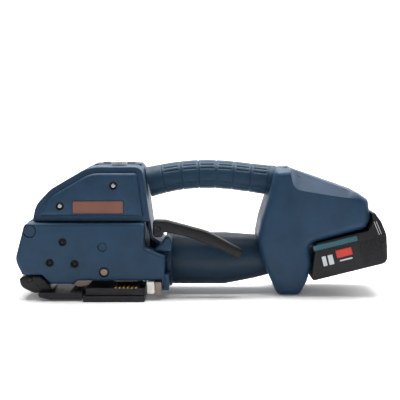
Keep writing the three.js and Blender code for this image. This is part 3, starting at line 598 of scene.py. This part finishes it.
def battery():
    body = slab("battery_skin", BATTERY, -BATTERY_HALF, BATTERY_HALF, "black_plastic", 1.0, 1.0,
                battery_place)
    seam = slab("cut", [(90, 27.8, 0.2), (0, 27.8, 0.2), (0, 28.4, 0.2), (90, 28.4, 0.2)],
                -BATTERY_HALF - 5, -BATTERY_HALF + 0.5, "black_plastic", to_frame=battery_place)
    tongue = box("tongue", 18, 74, -20, 20, 35, 42, "black_plastic", battery_place, 1.0)
    carve(body, tongue, how="UNION")
    carve(body, seam, *(end_groove(h) for h in (8, 12, 16, 20, 24)))
    finish_piece(body, "battery", "black_plastic", "battery_case", "battery_lid")
    first_rib, rib_pitch, rib_width = 58.5, 3.1, 1.7
    for index in range(8):
        s = first_rib + rib_pitch * index
        rib = box(f"battery_rib_{index + 1}", s, s + rib_width, -BATTERY_HALF - 0.8, -BATTERY_HALF + 1, 4, 26,
                  "black_plastic", battery_place, 0.7, 0.4)
        finish_piece(rib, "battery", "black_plastic")
    for index, s in enumerate((81.4, 83.6)):
        trim = slab(f"battery_trim_{index + 1}",
                    [(s - 1.2, 30, 0.3), (s - 3.4, 44, 2), (s - 2.9, 44, 2), (s - 0.7, 30, 0.3)],
                    -BATTERY_HALF - 0.4, -BATTERY_HALF + 1, "print", 0.1, 0.0, battery_place)
        finish_piece(trim, "battery", "ivory")
    marks = ((19, 23, 12, 22), (25, 30, 12, 22), (36, 49, 13, 14.4))
    for index, (s0, s1, h0, h1) in enumerate(marks):
        mark = box(f"battery_mark_{index + 1}", s0, s1, -BATTERY_HALF - 0.3, -BATTERY_HALF + 1, h0, h1,
                   "print", battery_place, 0.6, 0.1)
        finish_piece(mark, "battery", "ivory")


# ---- Foot of the head ----
ROCKER = [(-180.5, 21, 5), (-174, 23.2, 3), (-158.6, 23.4, 3), (-149.6, 14.6, 2), (-147, 8.7, 1),
          (-153, 6.5, 3), (-166, 6.0, 12), (-178.5, 12, 10)]


def rocker():
    nose = slab("rocker_skin", ROCKER, LOWER_FACE + 2, -15, "black_plastic", 2.0, 1.0)
    bore = disc_y("cut", *middle("rocker_pin"), 2.9, -80, 0, "steel")
    carve(nose, bore)
    finish_piece(nose, "rocker", "black_plastic", "rocker")
    bosses = ((-172.4, 17.6, 1.2), (-155.5, 18.2, 1.6), (-162.5, 13.2, 1.3))
    for index, (x, z, radius) in enumerate(bosses):
        boss = disc_y(f"rocker_boss_{index + 1}", x, z, radius, LOWER_FACE + 1.4, LOWER_FACE + 4,
                      "black_metal", 0.4, 28)
        finish_piece(boss, "rocker", "black_metal")


ANVIL_START, ANVIL_PITCH, ANVIL_TEETH = -85.0, 4.0, 6
ANVIL_FOOT, ANVIL_TIP = 12.5, 14.5


def weld_anvil():
    """The toothed welding anvil: brass at its near edge, dark steel behind."""
    teeth = []
    for tooth in range(ANVIL_TEETH):
        x = ANVIL_START + tooth * ANVIL_PITCH
        teeth += [(x + 0.4, ANVIL_FOOT, 0.3), (x + ANVIL_PITCH / 2, ANVIL_TIP, 0.3),
                  (x + ANVIL_PITCH - 0.4, ANVIL_FOOT, 0.3)]
    under = ANVIL_FOOT - 1
    end = ANVIL_START + ANVIL_TEETH * ANVIL_PITCH
    corners = [(ANVIL_START, under, 0.2), *teeth, (end, under, 0.2)]
    near = slab("weld_anvil_brass", corners, BASE_PLATE_NEAR + 3, BASE_PLATE_NEAR + 12, "brass")
    finish_piece(near, "housing", "brass", "weld_anvil")
    rest = slab("weld_anvil_steel", corners, BASE_PLATE_NEAR + 12.2, -16, "black_metal")
    finish_piece(rest, "housing", "black_metal")


def base_rim():
    """The low wall along the base plate's near edge, which hides the foot of the brass teeth."""
    rim_wall = box("base_rim", -112.4, -54.6, BASE_PLATE_NEAR + 2.4, BASE_PLATE_NEAR + 4.4, 6.2, 13.3,
                   "black_metal", radius=1.0, round_rim=0.4)
    finish_piece(rim_wall, "housing", "black_metal")


# ---- CAD nodes that stay: their finish, and softened edges ----
def dress_frame_nodes():
    slots = {row["node"]: row["material_slot"] for row in frame["record"]["subparts"]}
    slots.update(tension_button="black_plastic", weld_button="black_plastic", rocker_pin="black_metal",
                 lever_pin="black_metal", hole_plug="shell")
    for name, node in nodes.items():
        if node.hide_render:
            continue
        node.data.materials.clear()
        node.data.materials.append(LOOKS[slots[name]])
        weld = node.modifiers.new("weld", "WELD")
        weld.merge_threshold = 1e-6
        soften = node.modifiers.new("soft_edges", "BEVEL")
        soften.width = 0.25 * MM
        soften.segments = 2
        soften.limit_method = "ANGLE"
        soften.angle_limit = math.radians(35)


# ---- Studio ----
def backdrop_paper():
    """Pale paper that glows more the further back it is, so that it ends white behind the tool."""
    made = bpy.data.materials.new("pale_backdrop")
    made.use_nodes = True
    tree = made.node_tree
    paper = tree.nodes["Principled BSDF"]
    paper.inputs["Base Color"].default_value = (0.9, 0.9, 0.9, 1.0)
    paper.inputs["Roughness"].default_value = 0.9
    paper.inputs["Emission Color"].default_value = (1.0, 1.0, 1.0, 1.0)
    where = tree.nodes.new("ShaderNodeTexCoord")
    parts = tree.nodes.new("ShaderNodeSeparateXYZ")
    tree.links.new(where.outputs["Object"], parts.inputs["Vector"])
    glow = tree.nodes.new("ShaderNodeMapRange")
    limits = {"From Min": 0.3, "From Max": 1.6, "To Min": 0.08, "To Max": 0.85}
    for name, value in limits.items():
        glow.inputs[name].default_value = value
    tree.links.new(parts.outputs["Y"], glow.inputs["Value"])
    tree.links.new(glow.outputs["Result"], paper.inputs["Emission Strength"])
    return made


def backdrop():
    """One sheet: a floor that bends up into a wall behind the tool. Metres."""
    reach, wall_y, wall_top, bend, bend_steps = 6.0, 2.5, 4.0, 0.8, 16
    profile = [(-reach, 0.0), (wall_y - bend, 0.0)]
    for step in range(1, bend_steps + 1):
        turn = math.pi / 2 * step / bend_steps
        profile.append((wall_y - bend + bend * math.sin(turn), bend - bend * math.cos(turn)))
    profile.append((wall_y, wall_top))
    points = [(side * reach, y, z) for y, z in profile for side in (-1, 1)]
    faces = [(2 * i, 2 * i + 1, 2 * i + 3, 2 * i + 2) for i in range(len(profile) - 1)]
    sweep = bpy.data.meshes.new("backdrop")
    sweep.from_pydata(points, [], faces)
    sweep.shade_smooth()
    sweep.materials.append(backdrop_paper())
    floor = bpy.data.objects.new("backdrop", sweep)
    bpy.context.scene.collection.objects.link(floor)


def softbox(name, spot, size, power):
    """A rectangular lamp aimed at the middle of the tool."""
    lamp = bpy.data.lights.new(name, "AREA")
    lamp.shape = "RECTANGLE"
    lamp.size, lamp.size_y = size
    lamp.energy = power
    holder = bpy.data.objects.new(name, lamp)
    bpy.context.scene.collection.objects.link(holder)
    holder.location = spot
    aim = Vector((0, 0, 0.07)) - Vector(spot)
    holder.rotation_euler = aim.to_track_quat("-Z", "Y").to_euler()


def studio():
    world = bpy.data.worlds.new("studio")
    bpy.context.scene.world = world
    world.use_nodes = True
    sky = world.node_tree.nodes["Background"]
    sky.inputs["Color"].default_value = (1.0, 1.0, 1.0, 1.0)
    sky.inputs["Strength"].default_value = 0.16
    backdrop()
    softbox("top_light", (0.0, 0.25, 1.0), (1.2, 0.7), 30.0)
    softbox("rim_light", (0.7, 0.5, 0.6), (0.5, 0.5), 4.0)
    softbox("front_light", (-0.5, -1.2, 0.7), (0.9, 0.6), 2.0)


def camera():
    lens = bpy.data.cameras.new("camera")
    lens.sensor_width = 36.0
    lens.lens = 81.7
    holder = bpy.data.objects.new("camera", lens)
    bpy.context.scene.collection.objects.link(holder)
    holder.location = place(0, -940, 193)
    holder.rotation_euler = (math.radians(90 - 6), 0, 0)
    bpy.context.scene.camera = holder
    bpy.context.scene.view_settings.view_transform = "Standard"


camera()
studio()
head_shell()
upper_cover()
lower_cover()
for screw_number in range(1, 6):
    screw(screw_number, UPPER_FACE if screw_number < 3 else LOWER_FACE)
housing_half("housing_near_skin", -1, "grip_near")
housing_half("housing_far_skin", 1, "grip_far")
grip_sleeve()
motor_tube()
lever()
rocker()
weld_anvil()
base_rim()
collar_ear()
gear_cover()
dial()
battery()
dress_frame_nodes()
